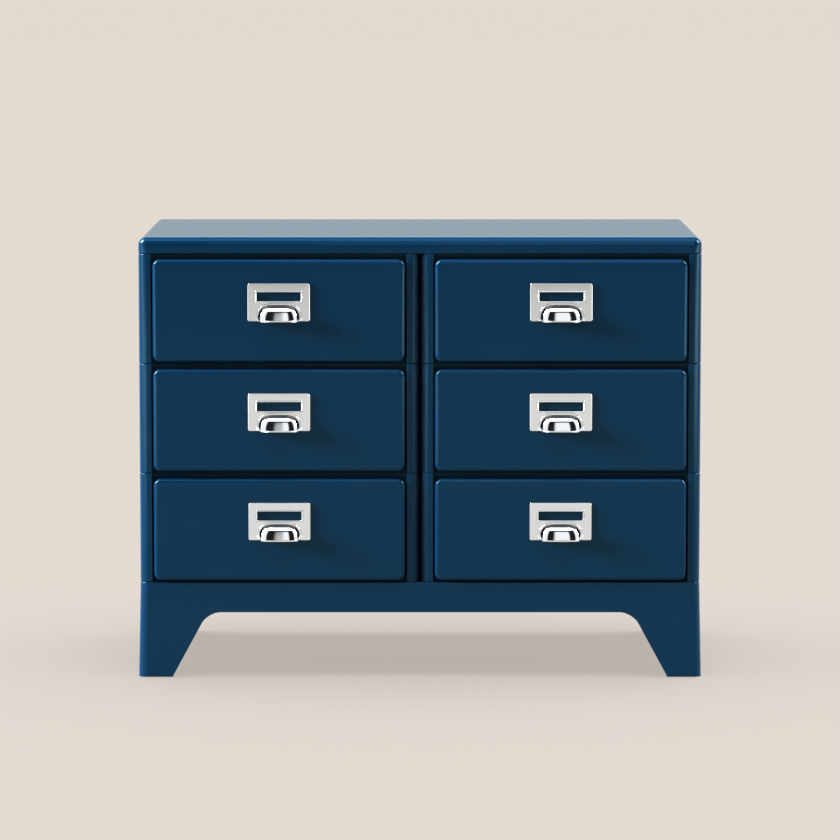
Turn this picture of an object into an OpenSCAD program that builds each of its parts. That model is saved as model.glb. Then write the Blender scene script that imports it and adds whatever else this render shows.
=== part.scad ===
// Six-drawer steel cabinet: two columns of three stacked drawer casings under one
// pressed top, on a base frame with four flared legs.
// Millimetres. X runs to the right, Y to the back and Z up. The origin lies on the
// floor, under the middle of the overall box with its handles.

/* [Casings] */
// Width over both columns of casings
body_w = 744; // [660:1:840]
// Depth of a casing, from its front face to its back
body_d = 390; // [350:1:440]
// Height of one casing
casing_h = 145.7; // [142:0.1:170]
// Gap between the two columns
column_gap = 1.5; // [1:0.1:4]
// Radius of the upright corners of the casings, the top and the base
corner_r = 11; // [11:0.5:14]
// Radius of the bend along the top and bottom edges of a casing
casing_edge_r = 1.5; // [1.2:0.1:2]
// Thickness of the casing sheet
casing_sheet = 1; // [0.8:0.1:1.1]
// Width of the post beside a drawer
post_w = 16.8; // [14:0.1:20]
// Depth of the fold that stiffens the post's inner edge
post_fold = 12; // [6:0.5:15]
// Height of the casing's edge above a drawer
top_rail_h = 2.3; // [1.5:0.1:5]
// Height of the casing's edge below a drawer
bottom_rail_h = 1.2; // [1.2:0.1:2.5]
// How far the edges above and below a drawer stand back from the posts
rail_setback = 4; // [2:0.1:8]
// Width of the plain border round the pressed panel in the back
back_border = 26; // [20:1:40]
// Depth of the pressed panel in the back
back_recess = 2; // [1:0.1:4]

/* [Top] */
// Height of the top panel
top_h = 22; // [18:0.5:30]
// Radius of the rolled edge round the top panel
top_edge_r = 10.5; // [4:0.5:10.5]
// Thickness of the top panel's sheet
top_sheet = 1.2; // [1:0.1:1.5]
// Width of the flange that turns in under the top panel
top_flange = 42; // [38:1:60]
// Width of a stiffener under the top panel
stiffener_w = 60; // [40:1:80]
// Height of a stiffener under the top panel
stiffener_h = 12; // [8:0.5:12.5]

/* [Base] */
// Height of the base frame, from the floor to the casings
base_h = 128; // [115:1:160]
// Height of the skirt between the legs
skirt_h = 40.4; // [34:0.1:46]
// Width of a leg at the floor
foot_w = 45.5; // [42:0.5:55]
// Lean of a leg's inner edge from the upright, in degrees
leg_lean = 28.5; // [20:0.5:30]
// Radius between a leg's inner edge and the skirt
arch_r = 29; // [15:1:36]
// How far each foot stands out past the casing above it
foot_flare = 2.9; // [1:0.1:5]
// Thickness of the base frame's sheet
base_sheet = 1.5; // [1.2:0.1:2]
// Width of the fold along the edge of an arch
arch_fold = 9; // [5:0.5:14]
// Width of the flange that carries the casings
base_flange = 42; // [38:1:60]
// Width of the rail under the gap between the columns
centre_rail_w = 40; // [30:1:44]
// Height of the rail under the gap between the columns
centre_rail_h = 25; // [15:1:32]
// Width of the flanges along the foot of that rail
centre_rail_flange = 8; // [5:0.5:10]

/* [Feet] */
// How far a glide stands out below its leg
glide_stand = 1; // [0.5:0.1:3]
// Radius of a glide
glide_r = 12; // [9:0.5:13]
// Thickness of a glide
glide_h = 5; // [4:0.5:8]
// Radius of a glide's stud
glide_stud_r = 3; // [2:0.5:4]
// Length of a glide's stud
glide_stud_h = 12; // [8:1:20]

/* [Drawer fronts] */
// Gap at each side of a drawer front
front_side_gap = 2.1; // [1:0.1:3]
// Gap under a drawer front
front_bottom_gap = 1.3; // [0.6:0.1:2]
// Gap over a drawer front
front_top_gap = 4.8; // [1:0.1:5.5]
// Depth of a drawer front, from its face to its rear edge
front_depth = 22; // [18:0.5:26]
// How far the face of a drawer front stands out of its casing
front_proud = 4.5; // [2:0.1:6]
// Radius of the rolled edge round a drawer front
front_edge_r = 5; // [3:0.1:5]
// Radius of the corners of a drawer front
front_corner_r = 13.5; // [9:0.5:20]
// Thickness of the drawer front's sheet
front_sheet = 1; // [0.8:0.1:1.2]

/* [Drawer trays] */
// Thickness of the tray's sheet
tray_sheet = 1; // [0.7:0.1:1.3]
// Height of the tray's underside above the bottom of its casing
tray_lift = 8.5; // [8.1:0.1:12]
// Gap left along a tray's welded seams
seam_gap = 0.05; // [0.03:0.01:0.1]
// Gap between the lips that carry a tray and the folds behind the posts
lip_gap = 0.8; // [0.5:0.1:2]
// Space between the back of the tray and its casing
tray_back_gap = 14; // [10:0.5:25]
// How far a drawer pulls out
drawer_travel = 280; // [180:5:290]

/* [Runners] */
// Distance from the top of a casing down to its runners
runner_drop = 11; // [10:0.5:18]
// Height of a runner
runner_h = 11; // [9:0.5:12]
// Width of a runner, from the casing's wall to its open side
runner_w = 24; // [22:0.5:26]
// Thickness of the runner's sheet
runner_sheet = 1.2; // [1:0.1:1.5]
// Gap between a runner and the side of the tray
runner_side_gap = 1.9; // [1:0.1:3]
// Gap between the rear edge of a drawer front and the runners
runner_front_gap = 2.5; // [1:0.1:6]
// Thickness of the slide pad on the front end of a runner
pad_h = 1.5; // [1:0.1:2]
// Length of a slide pad
pad_l = 20; // [10:1:30]
// Length of a rear glide
rear_glide_l = 14; // [10:1:25]
// Running gap between sliding pieces
running_gap = 0.3; // [0.2:0.05:0.4]
// Play left at a drawer's front stop
stop_play = 0.5; // [0.3:0.1:2]

/* [Handles] */
// Width of a handle's plate
plate_w = 82; // [76:0.5:100]
// Height of a handle's plate
plate_h = 49.8; // [46:0.1:60]
// Thickness of a handle's plate
plate_t = 2.4; // [2:0.1:3]
// Radius of the corners of a handle's plate
plate_corner_r = 2.2; // [1.8:0.1:4]
// Radius of the edge round a handle's plate
plate_edge_r = 1.1; // [0.6:0.1:1.6]
// Height of the plate's centre above the centre of the drawer front
plate_rise = 11.5; // [0:0.1:20]
// Width of the label window
window_w = 58.3; // [40:0.1:62]
// Height of the label window
window_h = 11.7; // [8:0.1:12]
// Distance from the top of the plate to the window
window_drop = 11.6; // [10:0.1:13]
// Radius of the corners of the label window
window_corner_r = 1; // [0.5:0.1:2]
// Width of the raised bead round the window
bead_w = 2.2; // [1.5:0.1:3]
// Height of the bead above the plate
bead_h = 0.9; // [0.5:0.1:1.5]
// Depth of the slot for a label in the back of the plate
label_slot = 0.8; // [0.5:0.1:1]
// How far the slot reaches past the window at its sides and below
label_side = 2; // [1:0.1:3]
// Width of the cup pull at its ends
cup_w = 57; // [50:0.5:62]
// How far the cup pull stands out of the drawer front
cup_reach = 17.5; // [15:0.1:20]
// Height of the straight band along the rim of the cup pull
cup_rim_h = 3.5; // [2:0.1:4.5]
// Wall thickness of the cup pull
cup_wall = 1.6; // [1.2:0.1:2]
// Squareness of the cup pull's outline across its width
cup_square = 3; // [2:0.1:4]
// Squareness of the cup pull's outline at its crown
cup_crown = 0.55; // [0.45:0.01:0.7]
// Width of the raised welt round the cup pull
welt_w = 2.4; // [1.5:0.1:3]
// Height of the welt above the plate
welt_h = 0.8; // [0.4:0.1:1.2]

/* [Fasteners] */
// Distance of the bolts from the edges of a casing
bolt_inset = 30; // [29.5:0.1:33]
// Radius of the bolts that join casings, top and base
bolt_r = 2.5; // [2:0.1:2.5]
// Radius of a bolt's head
bolt_head_r = 4.5; // [4:0.1:4.8]
// Height of a bolt's head
bolt_head_h = 3; // [2:0.1:3.5]
// Width of a nut across its corners
nut_w = 9.2; // [8.2:0.1:9.4]
// Height of a nut
nut_h = 4; // [3:0.1:4.2]
// Radial clearance of a bolt in its hole
hole_clearance = 0.25; // [0.1:0.05:0.4]
// Radial clearance of a thread
thread_clearance = 0.05; // [0.02:0.01:0.1]
// Length of a bolt's end past its nut
bolt_end = 1; // [0.5:0.1:1.5]
// Distance of the bolts between the columns from the front and the back
column_bolt_inset = 70; // [50:1:110]
// Height of the bolts between the columns above the bottom of a casing
column_bolt_z = 62; // [40:1:90]
// Width of the spacer strips between the columns
spacer_w = 20; // [14:1:30]
// Radius of a handle screw
screw_r = 2; // [1.5:0.1:2.2]
// Radius of a handle screw's head
screw_head_r = 4; // [3.5:0.1:5]
// Height of a handle screw's head
screw_head_h = 2.4; // [1.5:0.1:3]
// Thread length of a handle screw in its boss
screw_grip = 7; // [5:0.5:8]
// Radius of the boss that takes a handle screw
boss_r = 3.6; // [3.2:0.1:4]
// Distance between the two bosses of a handle
boss_pitch = 38; // [32:0.5:40]
// Height of the bosses above the straight band of the cup pull
boss_rise = 6.5; // [5:0.1:7]
// Radius of a rear bumper
bumper_r = 6; // [4:0.5:9]
// Distance between the two bumpers behind a drawer
bumper_pitch = 220; // [100:5:260]
// Height of the bumpers above the bottom of a casing
bumper_z = 60; // [40:1:90]
// Radius round the end of a rear bumper
bumper_edge_r = 1.5; // [0.5:0.1:2]

/* [Hidden] */
$fn = 64;
CUP_STEPS = 40;
HEX = 6;
CUT = 1;
HEAD_ROUNDING = 0.6;
NAVY = [0.075, 0.235, 0.37];
CHROME = [0.82, 0.82, 0.81];
ZINC = [0.62, 0.64, 0.66];
NYLON = [0.9, 0.89, 0.85];
RUBBER = [0.1, 0.1, 0.1];
ROWS = ["bottom", "middle", "top"];
COLUMNS = ["left", "right"];
PIECES = ["casing", "runners", "front", "tray", "tray_sides", "rear_glides", "handle", "handle_screws"];

function piece_name(row, column, piece) = str(ROWS[row], "_", COLUMNS[column], "_", piece);

casing_w = (body_w - column_gap) / 2;
column_x = (casing_w + column_gap) / 2;
front_y = -(body_d + foot_flare - front_proud - cup_reach) / 2;
back_y = front_y + body_d;
middle_y = front_y + body_d / 2;
top_z = base_h + len(ROWS) * casing_h;

opening_w = casing_w - 2 * post_w;
opening_h = casing_h - bottom_rail_h - top_rail_h;
inner_half = casing_w / 2 - casing_sheet;

front_w = opening_w - 2 * front_side_gap;
front_h = opening_h - front_bottom_gap - front_top_gap;
front_z = bottom_rail_h + front_bottom_gap;
face_y = front_y - front_proud;
front_rear_y = face_y + front_depth;

runner_y = front_rear_y + runner_front_gap;
runner_l = back_y - corner_r - runner_y;
runner_half = inner_half - runner_w;
runner_z = casing_h - runner_drop - runner_h;
runner_floor_z = runner_z + runner_sheet;
runner_roof_z = runner_z + runner_h - runner_sheet;

lip_z = runner_floor_z + pad_h + running_gap;
tray_half = runner_half - runner_side_gap;
floor_half = tray_half - tray_sheet;
lip_w = opening_w / 2 - lip_gap - tray_half;
tray_y = face_y + front_sheet;
tray_back_y = back_y - casing_sheet - back_recess - tray_back_gap;
tray_l = tray_back_y - tray_y;
tray_h = lip_z + tray_sheet - tray_lift;
lip_y = front_rear_y + running_gap;
lip_end_y = tray_back_y - tray_sheet;
glide_front_y = lip_end_y - rear_glide_l;
glide_reach = lip_w + running_gap;
glide_z = runner_floor_z + running_gap;
glide_top_z = runner_roof_z - running_gap;
stop_y = glide_front_y - drawer_travel - stop_play;
stop_z = lip_z + tray_sheet + running_gap;

plate_z = front_z + front_h / 2 + plate_rise;
rim_z = -plate_h / 2;
cup_z = rim_z + cup_rim_h;
window_z = plate_h / 2 - window_drop - window_h / 2;

level_ys = [front_y + bolt_inset, back_y - bolt_inset];
level_xs = [for (column = [-1, 1], side = [-1, 1])
    column * column_x + side * (casing_w / 2 - bolt_inset)];
column_bolt_ys = [front_y + column_bolt_inset, back_y - column_bolt_inset];
foot_x = body_w / 2 + foot_flare - foot_w / 2;
foot_y = body_d / 2 + foot_flare - foot_w / 2;
foot_plate_z = glide_h;

// Half of a section with rolled edges, from its middle line out to half
module half_section(half, h, bottom_r, top_r) {
    intersection() {
        square([half, h]);
        union() {
            translate([0, bottom_r]) square([half, h - bottom_r - top_r]);
            square([half - bottom_r, h - top_r]);
            translate([0, bottom_r]) square([half - top_r, h - bottom_r]);
            if (bottom_r > 0) translate([half - bottom_r, bottom_r]) circle(bottom_r);
            if (top_r > 0) translate([half - top_r, h - top_r]) circle(top_r);
        }
    }
}

module full_section(half, h, bottom_r, top_r) {
    half_section(half, h, bottom_r, top_r);
    mirror([1, 0]) half_section(half, h, bottom_r, top_r);
}

// Block with round upright corners and rolled edges, standing on its middle
module soft_block(w, d, h, r, bottom_r = 0, top_r = 0) {
    rotate([90, 0, 90]) linear_extrude(w - 2 * r, center = true)
        full_section(d / 2, h, bottom_r, top_r);
    rotate([90, 0, 0]) linear_extrude(d - 2 * r, center = true)
        full_section(w / 2, h, bottom_r, top_r);
    for (turn = [0 : 3]) {
        side = [[1, 1], [-1, 1], [-1, -1], [1, -1]][turn];
        translate([side[0] * (w / 2 - r), side[1] * (d / 2 - r)])
            rotate(turn * 90) rotate_extrude(angle = 90) half_section(r, h, bottom_r, top_r);
    }
}

// Rectangle with round corners
module soft_square(w, h, r) {
    square([w - 2 * r, h], center = true);
    square([w, h - 2 * r], center = true);
    for (x = [-1, 1], y = [-1, 1]) translate([x * (w / 2 - r), y * (h / 2 - r)]) circle(r);
}

// Block whose foot stands out by flare on every side, with round corners
module flared_block(w, d, h, flare, r) {
    rotate([90, 0, 90]) linear_extrude(w - 2 * r, center = true)
        polygon([[-d / 2 - flare, 0], [d / 2 + flare, 0], [d / 2, h], [-d / 2, h]]);
    rotate([90, 0, 0]) linear_extrude(d - 2 * r, center = true)
        polygon([[-w / 2 - flare, 0], [w / 2 + flare, 0], [w / 2, h], [-w / 2, h]]);
    for (x = [-1, 1], y = [-1, 1])
        translate([x * (w / 2 - r), y * (d / 2 - r)]) cylinder(h, r + flare, r);
}

// The open shape between two legs, grown on every side by grow
module arch(span, grow) {
    slope = tan(leg_lean);
    top = base_h - skirt_h + grow;
    half_foot = span / 2 - foot_w + grow / cos(leg_lean);
    half_top = half_foot - top * slope;
    r = arch_r + grow;
    tangent = r * tan((90 - leg_lean) / 2);
    lean_x = half_top + tangent * sin(leg_lean);
    lean_z = top - tangent * cos(leg_lean);
    polygon([[-half_foot, 0], [half_foot, 0], [lean_x, lean_z], [half_top - tangent, top],
             [tangent - half_top, top], [-lean_x, lean_z]]);
    for (side = [-1, 1]) translate([side * (half_top - tangent), top - r]) circle(r);
}

module bolt(r, head_r, head_h, length) {
    cylinder(length, r = r);
    translate([0, 0, -head_h]) half_round_head(head_r, head_h);
}

module half_round_head(r, h) {
    rotate([180, 0, 0]) translate([0, 0, -h])
        rotate_extrude() half_section(r, h, 0, h * HEAD_ROUNDING);
}

module nut(r) {
    difference() {
        cylinder(nut_h, d = nut_w, $fn = HEX);
        translate([0, 0, -CUT]) cylinder(nut_h + 2 * CUT, r = r + thread_clearance);
    }
}

module bolt_holes(z, h) {
    for (x = level_xs, y = level_ys)
        translate([x, y, z]) cylinder(h, r = bolt_r + hole_clearance);
}

module top_panel() {
    color(NAVY) difference() {
        translate([0, middle_y, top_z])
            soft_block(body_w, body_d, top_h, corner_r, casing_edge_r, top_edge_r);
        translate([0, middle_y, top_z + top_sheet])
            soft_block(body_w - 2 * top_sheet, body_d - 2 * top_sheet, top_h - 2 * top_sheet,
                corner_r - top_sheet, 0, top_edge_r - top_sheet);
        translate([0, middle_y, top_z - CUT]) linear_extrude(top_sheet + 2 * CUT)
            soft_square(body_w - 2 * top_flange, body_d - 2 * top_flange, corner_r);
        bolt_holes(top_z - CUT, top_sheet + 2 * CUT);
    }
}

// Open channel section on its flanges, with its web up
module hat(w, h, flange, sheet) {
    difference() {
        translate([-w / 2, 0]) square([w, h]);
        translate([-w / 2 + flange + sheet, -CUT]) square([w - 2 * flange - 2 * sheet, h - sheet + CUT]);
        for (side = [-1, 1]) translate([side * (w / 2 - flange / 2), sheet + h / 2])
            square([flange, h], center = true);
    }
}

module top_stiffeners() {
    clear = top_edge_r + top_sheet;
    color(ZINC) for (side = [-1, 1])
        translate([side * column_x, middle_y, top_z + top_h - top_sheet - stiffener_h])
            rotate([90, 0, 0]) linear_extrude(body_d - 2 * clear, center = true)
                hat(stiffener_w, stiffener_h, stiffener_h, top_sheet);
}

module casing(row, column) {
    x = (2 * column - 1) * column_x;
    panel_w = casing_w - 2 * back_border;
    panel_h = casing_h - 2 * back_border;
    color(NAVY) translate([x, 0, base_h + row * casing_h]) {
        difference() {
            translate([0, middle_y, 0])
                soft_block(casing_w, body_d, casing_h, corner_r, casing_edge_r, casing_edge_r);
            difference() {
                translate([0, middle_y, casing_sheet])
                    soft_block(casing_w - 2 * casing_sheet, body_d - 2 * casing_sheet,
                        casing_h - 2 * casing_sheet, corner_r - casing_sheet);
                back_panel(panel_w + 2 * casing_sheet, panel_h + 2 * casing_sheet,
                    back_recess + casing_sheet, 0);
            }
            back_panel(panel_w, panel_h, back_recess, CUT);
            translate([-opening_w / 2, front_y - CUT, bottom_rail_h])
                cube([opening_w, post_fold + CUT, opening_h]);
            translate([-opening_w / 2, front_y - CUT, -CUT])
                cube([opening_w, rail_setback + CUT, casing_h + 2 * CUT]);
            translate([-x, 0, -base_h - row * casing_h]) casing_bolt_holes(row);
        }
        for (side = [-1, 1])
            translate([side * (opening_w + casing_sheet) / 2, front_y + casing_sheet / 2, 0])
                post_edge();
        rail(0, bottom_rail_h);
        rail(casing_h - top_rail_h, top_rail_h);
    }
}

// The folded edge above or below a drawer, joined to the posts' inner folds
module rail(z, h) {
    translate([-(opening_w + casing_sheet) / 2, front_y + rail_setback, z])
        cube([opening_w + casing_sheet, casing_sheet, h]);
}

// The fold behind the inner edge of a post
module post_edge() {
    translate([-casing_sheet / 2, 0, casing_sheet / 2])
        cube([casing_sheet, post_fold - casing_sheet / 2, casing_h - casing_sheet]);
}

module back_panel(w, h, depth, past) {
    translate([0, back_y + past, casing_h / 2]) rotate([90, 0, 0])
        linear_extrude(depth + past) soft_square(w, h, corner_r);
}

module casing_bolt_holes(row) {
    bolt_holes(base_h + row * casing_h - CUT, casing_sheet + 2 * CUT);
    bolt_holes(base_h + (row + 1) * casing_h - casing_sheet - CUT, casing_sheet + 2 * CUT);
    at_column_bolts()
        cylinder(column_gap + 2 * (casing_sheet + CUT), r = bolt_r + hole_clearance, center = true);
}

module base_frame() {
    h = base_h - glide_stand;
    color(NAVY) translate([0, middle_y, glide_stand]) {
        difference() {
            flared_block(body_w, body_d, h, foot_flare, corner_r);
            difference() {
                flared_block(body_w - 2 * base_sheet, body_d - 2 * base_sheet, h, foot_flare,
                    corner_r - base_sheet);
                translate([0, 0, h - base_sheet]) linear_extrude(base_sheet + CUT) difference() {
                    square([body_w, body_d], center = true);
                    soft_square(body_w - 2 * base_flange, body_d - 2 * base_flange, corner_r);
                }
            }
            arch_cuts(0);
            translate([0, -middle_y, -glide_stand])
                bolt_holes(base_h - base_sheet - CUT, base_sheet + 2 * CUT);
        }
        intersection() {
            flared_block(body_w, body_d, h, foot_flare, corner_r);
            arch_folds();
        }
        foot_plates();
    }
}

module arch_cuts(grow) {
    width = body_w + 2 * foot_flare;
    depth = body_d + 2 * foot_flare;
    rotate([90, 0, 0]) linear_extrude(depth + 2 * CUT, center = true)
        translate([0, -glide_stand]) arch(width, grow);
    rotate([90, 0, 90]) linear_extrude(width + 2 * CUT, center = true)
        translate([0, -glide_stand]) arch(depth, grow);
}

// The inward folds along the edges of the four arches
module arch_folds() {
    width = body_w + 2 * foot_flare;
    depth = body_d + 2 * foot_flare;
    for (turn = [0, 180]) rotate(turn) {
        fold_band(width, depth);
        rotate(90) fold_band(depth, width);
    }
}

module fold_band(span, across) {
    translate([0, -across / 2, -glide_stand]) rotate([90, 0, 0])
        translate([0, 0, -arch_fold - foot_flare]) linear_extrude(arch_fold + foot_flare)
            difference() {
                arch(span, base_sheet);
                arch(span, 0);
            }
}

module foot_plates() {
    side = foot_w - arch_fold / 2;
    for (x = [-1, 1], y = [-1, 1]) difference() {
        intersection() {
            translate([0, 0, foot_plate_z - glide_stand])
                linear_extrude(base_sheet)
                    translate([x * foot_x, y * foot_y]) square(side, center = true);
            flared_block(body_w - base_sheet, body_d - base_sheet, base_h - glide_stand,
                foot_flare, corner_r - base_sheet / 2);
        }
        translate([x * foot_x, y * foot_y, -CUT])
            cylinder(foot_plate_z + base_sheet + CUT, r = glide_stud_r + thread_clearance);
    }
}

module base_centre_rail() {
    l = body_d - 2 * (base_sheet + arch_fold + foot_flare);
    color(NAVY) translate([0, middle_y, base_h - centre_rail_h]) difference() {
        rotate([90, 0, 0]) linear_extrude(l, center = true)
            hat(centre_rail_w + 2 * centre_rail_flange, centre_rail_h, centre_rail_flange, base_sheet);
        for (side = [-1, 1])
            translate([0, side * body_d / 2, centre_rail_h])
                cube([body_w, 2 * (base_flange + running_gap), 2 * base_sheet], center = true);
    }
}

module foot_glides() {
    color(NYLON) translate([0, middle_y, 0]) for (x = [-1, 1], y = [-1, 1])
        translate([x * foot_x, y * foot_y, 0]) {
            rotate_extrude() half_section(glide_r, glide_h, glide_stand, 0);
            cylinder(glide_h + glide_stud_h, r = glide_stud_r);
        }
}

// Each level's bolts: heads stand on a casing's floor, and on the last level
// they hang under the casing's roof
module stack_bolts() {
    color(ZINC) for (x = level_xs, y = level_ys) {
        for (row = [0 : len(ROWS) - 1]) {
            under = row == 0 ? base_sheet : casing_sheet;
            translate([x, y, base_h + row * casing_h + casing_sheet]) rotate([180, 0, 0])
                bolt(bolt_r, bolt_head_r, bolt_head_h, casing_sheet + under + nut_h + bolt_end);
        }
        translate([x, y, top_z - casing_sheet])
            bolt(bolt_r, bolt_head_r, bolt_head_h, casing_sheet + top_sheet + nut_h + bolt_end);
    }
}

module stack_nuts() {
    color(ZINC) for (x = level_xs, y = level_ys) {
        for (row = [0 : len(ROWS) - 1]) {
            under = row == 0 ? base_sheet : casing_sheet;
            translate([x, y, base_h + row * casing_h - under - nut_h]) nut(bolt_r);
        }
        translate([x, y, top_z + top_sheet]) nut(bolt_r);
    }
}

module at_column_bolts() {
    for (row = [0 : len(ROWS) - 1], y = column_bolt_ys)
        translate([0, y, base_h + row * casing_h + column_bolt_z]) rotate([0, 90, 0]) children();
}

module column_bolts() {
    grip = column_gap + 2 * casing_sheet;
    color(ZINC) at_column_bolts() translate([0, 0, -grip / 2])
        bolt(bolt_r, bolt_head_r, bolt_head_h, grip + nut_h + bolt_end);
}

module column_nuts() {
    color(ZINC) at_column_bolts() translate([0, 0, column_gap / 2 + casing_sheet]) nut(bolt_r);
}

// Two strips, as high as the casings, that close the gap between the columns
module column_spacers() {
    color(RUBBER) difference() {
        for (y = column_bolt_ys) translate([-column_gap / 2, y - spacer_w / 2, base_h])
            cube([column_gap, spacer_w, top_z - base_h]);
        at_column_bolts()
            cylinder(column_gap + 2 * CUT, r = bolt_r + hole_clearance, center = true);
    }
}

module runners(row, column) {
    color(NAVY) at_casing(row, column) both_sides() {
        translate([inner_half, runner_y + runner_l, runner_z]) rotate([90, 0, 0])
            linear_extrude(runner_l) runner_section();
        translate([runner_half + running_gap, stop_y - runner_sheet, stop_z])
            cube([lip_w, runner_sheet, runner_roof_z - stop_z]);
    }
}

// Channel with its back to the casing's wall and its open side to the tray
module runner_section() {
    difference() {
        translate([-runner_w, 0]) square([runner_w, runner_h]);
        translate([-runner_w - runner_sheet, runner_sheet])
            square([runner_w, runner_h - 2 * runner_sheet]);
    }
}

module at_casing(row, column) {
    translate([(2 * column - 1) * column_x, 0, base_h + row * casing_h]) children();
}

module both_sides() {
    children();
    mirror([1, 0, 0]) children();
}

module slide_pads() {
    color(NYLON) for (row = [0 : len(ROWS) - 1], column = [0, 1]) at_casing(row, column) both_sides()
        translate([runner_half, runner_y, runner_floor_z])
            cube([lip_w, pad_l, pad_h]);
}

module rear_bumpers() {
    y = back_y - casing_sheet - back_recess;
    color(RUBBER) for (row = [0 : len(ROWS) - 1], column = [0, 1]) at_casing(row, column)
        for (side = [-1, 1]) translate([side * bumper_pitch / 2, y, bumper_z])
            rotate([90, 0, 0]) rotate_extrude()
                half_section(bumper_r, tray_back_gap - running_gap, 0, bumper_edge_r);
}

// The pressed drawer front, open to the back
module front(row, column) {
    color(NAVY) at_casing(row, column) difference() {
        translate([0, front_rear_y, front_z + front_h / 2]) rotate([90, 0, 0]) difference() {
            soft_block(front_w, front_h, front_depth, front_corner_r, 0, front_edge_r);
            translate([0, 0, -CUT])
                soft_block(front_w - 2 * front_sheet, front_h - 2 * front_sheet,
                    front_depth - front_sheet + CUT, front_corner_r - front_sheet, 0,
                    front_edge_r - front_sheet);
        }
        screw_holes(face_y - CUT);
    }
}

module at_bosses() {
    for (side = [-1, 1])
        translate([side * boss_pitch / 2, 0, plate_z + cup_z + boss_rise]) children();
}

module screw_holes(y) {
    at_bosses() translate([0, y, 0]) rotate([-90, 0, 0])
        cylinder(front_sheet + tray_sheet + 2 * CUT, r = screw_r + hole_clearance);
}

// The tray's floor and its two ends, which the handle screws go through in front
module tray(row, column) {
    color(NAVY) at_casing(row, column) {
        translate([-floor_half, tray_y + tray_sheet + seam_gap, tray_lift])
            cube([2 * floor_half, tray_l - 2 * (tray_sheet + seam_gap), tray_sheet]);
        difference() {
            for (y = [tray_y, tray_back_y - tray_sheet])
                translate([-floor_half, y, tray_lift]) cube([2 * floor_half, tray_sheet, tray_h]);
            screw_holes(face_y + front_sheet - CUT);
        }
    }
}

// The tray's sides, each with the lip that runs in a runner
module tray_sides(row, column) {
    color(NAVY) at_casing(row, column) both_sides() {
        translate([floor_half, tray_y, tray_lift]) cube([tray_sheet, tray_l, tray_h]);
        translate([floor_half, lip_y, lip_z])
            cube([lip_w + tray_sheet, lip_end_y - lip_y, tray_sheet]);
    }
}

// Blocks that clip over the rear ends of the lips
module rear_glides(row, column) {
    color(NYLON) at_casing(row, column) both_sides() difference() {
        translate([tray_half, glide_front_y, glide_z])
            cube([glide_reach, rear_glide_l, glide_top_z - glide_z]);
        translate([tray_half - CUT, glide_front_y - CUT, lip_z])
            cube([lip_w + CUT, rear_glide_l + CUT, tray_sheet]);
    }
}

// Outline of the cup pull: its reach at the distance s from the middle
function cup_r(s, half, reach) = reach * pow(1 - pow(min(abs(s) / half, 1), cup_square), cup_crown);
function cup_outline(half, reach) =
    [for (i = [0 : CUP_STEPS]) let (s = -half * cos(180 * i / CUP_STEPS)) [cup_r(s, half, reach), s]];

// Quarter-turn hood with a straight band below it
module cup_solid(half, reach, band) {
    rotate([180, -90, 0]) rotate_extrude(angle = 90) polygon(cup_outline(half, reach));
    translate([0, 0, -band]) rotate([0, 0, -90]) linear_extrude(band)
        polygon(cup_outline(half, reach));
}

module handle(row, column) {
    color(CHROME) at_casing(row, column) translate([0, face_y, plate_z]) difference() {
        union() {
            rotate([90, 0, 0]) soft_block(plate_w, plate_h, plate_t, plate_corner_r, 0, plate_edge_r);
            translate([0, 0, window_z]) rotate([90, 0, 0])
                soft_block(window_w + 2 * bead_w, window_h + 2 * bead_w, plate_t + bead_h,
                    bead_w, 0, bead_h);
            translate([0, 0, cup_z]) {
                rotate([90, 90, 0]) mirror([1, 0, 0]) linear_extrude(plate_t + welt_h)
                    polygon(cup_outline(cup_w / 2 + welt_w, cup_reach + welt_w));
                cup_solid(cup_w / 2, cup_reach, cup_rim_h);
            }
        }
        difference() {
            translate([0, 0, cup_z])
                cup_solid(cup_w / 2 - cup_wall, cup_reach - cup_wall, cup_rim_h + CUT);
            at_cup_bosses() rotate([90, 0, 0]) cylinder(cup_reach, r = boss_r);
        }
        at_cup_bosses() translate([0, CUT, 0]) rotate([90, 0, 0])
            cylinder(CUT + screw_grip + bolt_end, r = screw_r + thread_clearance);
        translate([0, CUT, window_z]) rotate([90, 0, 0])
            linear_extrude(plate_t + bead_h + 2 * CUT) soft_square(window_w, window_h, window_corner_r);
        translate([0, CUT, 0]) rotate([90, 0, 0]) linear_extrude(CUT + label_slot)
            translate([-window_w / 2 - label_side, window_z - window_h / 2 - label_side])
                square([window_w + 2 * label_side, plate_h]);
    }
}

module at_cup_bosses() {
    for (side = [-1, 1]) translate([side * boss_pitch / 2, 0, cup_z + boss_rise]) children();
}

module handle_screws(row, column) {
    color(ZINC) at_casing(row, column) at_bosses()
        translate([0, face_y + front_sheet + tray_sheet, 0]) rotate([90, 0, 0])
            bolt(screw_r, screw_head_r, screw_head_h, front_sheet + tray_sheet + screw_grip);
}

top_panel();
top_stiffeners();
base_frame();
base_centre_rail();
foot_glides();
stack_bolts();
stack_nuts();
column_bolts();
column_spacers();
column_nuts();
slide_pads();
rear_bumpers();
for (row = [0 : len(ROWS) - 1], column = [0, 1]) {
    casing(row, column);
    runners(row, column);
    front(row, column);
    tray(row, column);
    tray_sides(row, column);
    rear_glides(row, column);
    handle(row, column);
    handle_screws(row, column);
}
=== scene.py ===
# %% [markdown]
# # A six-drawer steel cabinet in navy enamel
# The real cabinet is a stack of pressed sheet-steel boxes: six casings under one top, on a base
# with four flared legs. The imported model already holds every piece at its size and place, so
# this script starts by loading it. It then rebuilds the pressed sheets and the cast handles with
# round, smooth edges, and gives every surface its finish.

# %% Load the frame
import math

import bmesh
import bpy
from mathutils import Matrix, Vector


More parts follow.
